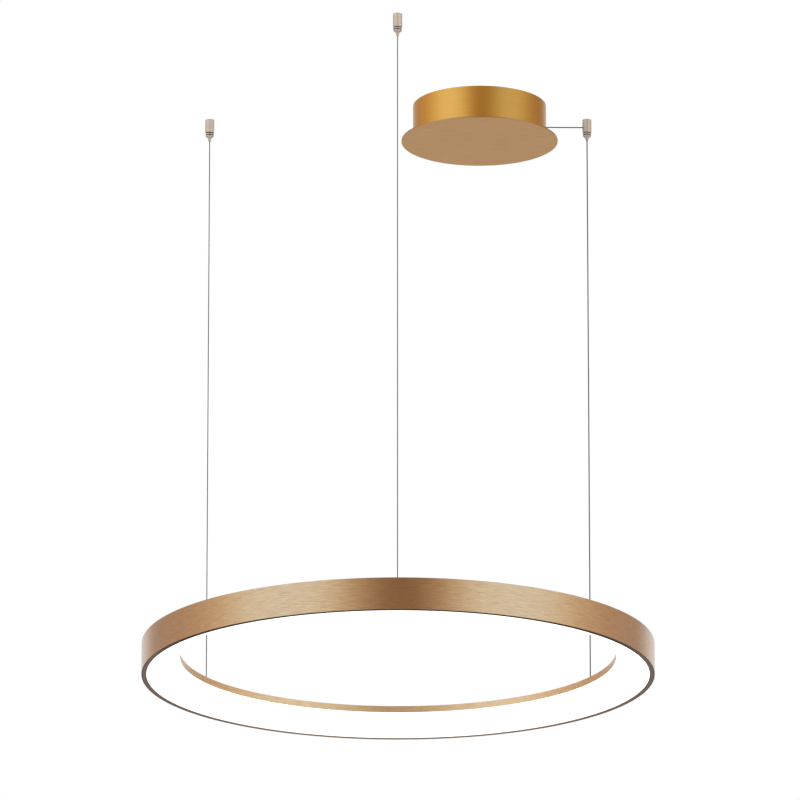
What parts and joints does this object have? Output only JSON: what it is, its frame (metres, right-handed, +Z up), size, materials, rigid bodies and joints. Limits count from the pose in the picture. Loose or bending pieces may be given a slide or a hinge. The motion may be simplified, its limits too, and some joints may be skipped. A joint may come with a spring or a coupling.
{
  "type": "led ring chandelier",
  "caption": "Suspended ring light: a brushed gold profile with an opal diffuser hangs level on thin wires from ceiling grippers, fed by a cable from a round ceiling canopy.",
  "frame": {"origin": "on the ceiling plane, at the centre of the circle of the gripper screws, above the centre of the ring", "axes": "+Z up; +X to the right and +Y away from the viewer, so one gripper is at -Y"},
  "size_m": [0.8, 0.7998, 0.97],
  "materials": {
    "brushed_gold": "gold anodised, brushed along the ring",
    "brushed_gold_disc": "gold anodised, brushed straight, matt",
    "satin_gold": "gold, satin",
    "opal": "opal white, lit from within",
    "satin_nickel": "satin nickel",
    "bright_nickel": "bright nickel",
    "nickel_brass": "nickel plated",
    "zinc_steel": "zinc plated",
    "black_steel": "blackened",
    "spring_steel": "bright drawn",
    "ball_steel": "polished",
    "wire_steel": "stranded, bright",
    "cable_jacket": "grey jacket over a steel braid",
    "crimp_aluminium": "pressed",
    "board_white": "white solder mask",
    "chip_yellow": "yellow phosphor",
    "white_plastic": "moulded",
    "driver_white": "moulded, fine grain",
    "terminal_plastic": "moulded",
    "grey_foam": "closed cell foam",
    "clear_rubber": "soft moulded",
    "lead_red": "insulated",
    "lead_blue": "insulated"
  },
  "bodies": {
    "ceiling_set": {"suspension_wire_near": "wire_steel", "suspension_wire_left": "wire_steel", "powered_wire_right": "cable_jacket", "canopy_drum": "satin_gold", "canopy_disc": "brushed_gold_disc", "disc_nuts": "zinc_steel", "ceiling_bracket": "zinc_steel", "canopy_side_screws": "black_steel", "cable_bush": "clear_rubber", "driver_foam_pad": "grey_foam", "driver_case": "driver_white", "driver_lid": "driver_white", "driver_screws": "zinc_steel", "terminal_block": "terminal_plastic", "mains_leads": "lead_blue", "power_cable": "cable_jacket", "gripper_base_near": "zinc_steel", "gripper_sleeve_near": "satin_nickel", "gripper_barrel_near": "bright_nickel", "gripper_lock_ring_near": "bright_nickel", "gripper_cap_near": "zinc_steel", "gripper_spring_near": "spring_steel", "gripper_base_left": "zinc_steel", "gripper_sleeve_left": "satin_nickel", "gripper_barrel_left": "bright_nickel", "gripper_lock_ring_left": "bright_nickel", "gripper_cap_left": "zinc_steel", "gripper_spring_left": "spring_steel", "gripper_base_right": "zinc_steel", "gripper_sleeve_right": "satin_nickel", "gripper_barrel_right": "bright_nickel", "gripper_lock_ring_right": "bright_nickel", "gripper_cap_right": "zinc_steel", "gripper_spring_right": "spring_steel"},
    "ring": {"ring_half_front": "brushed_gold", "ring_half_back": "brushed_gold", "opal_diffuser": "opal", "splice_plates": "zinc_steel", "splice_screws": "black_steel", "circuit_board": "board_white", "light_chips": "chip_yellow", "feed_terminal": "white_plastic", "feed_leads": "lead_red", "anchor_nuts": "nickel_brass", "wire_anchor_near": "nickel_brass", "wire_crimp_near": "crimp_aluminium", "wire_anchor_left": "nickel_brass", "wire_crimp_left": "crimp_aluminium", "wire_anchor_right": "nickel_brass", "wire_crimp_right": "crimp_aluminium"},
    "release_near": {"release_plunger_near": "bright_nickel", "locking_balls_near": "ball_steel"},
    "release_left": {"release_plunger_left": "bright_nickel", "locking_balls_left": "ball_steel"},
    "release_right": {"release_plunger_right": "bright_nickel", "locking_balls_right": "ball_steel"}
  },
  "joints": [
    {"name": "ring_height", "type": "slide", "parent": "ceiling_set", "child": "ring", "axis": [0, 0, 1], "range_m": [0, 0.6], "deforming": ["suspension_wire_near", "suspension_wire_left", "powered_wire_right"]},
    {"name": "release_near_press", "type": "slide", "parent": "ceiling_set", "child": "release_near", "axis": [0, 0, 1], "range_m": [0, 0.002], "stiffness_N_per_m": 600, "springref_m": -0.002, "deforming": ["gripper_spring_near"]},
    {"name": "release_left_press", "type": "slide", "parent": "ceiling_set", "child": "release_left", "axis": [0, 0, 1], "range_m": [0, 0.002], "stiffness_N_per_m": 600, "springref_m": -0.002, "deforming": ["gripper_spring_left"]},
    {"name": "release_right_press", "type": "slide", "parent": "ceiling_set", "child": "release_right", "axis": [0, 0, 1], "range_m": [0, 0.002], "stiffness_N_per_m": 600, "springref_m": -0.002, "deforming": ["gripper_spring_right"]}
  ]
}
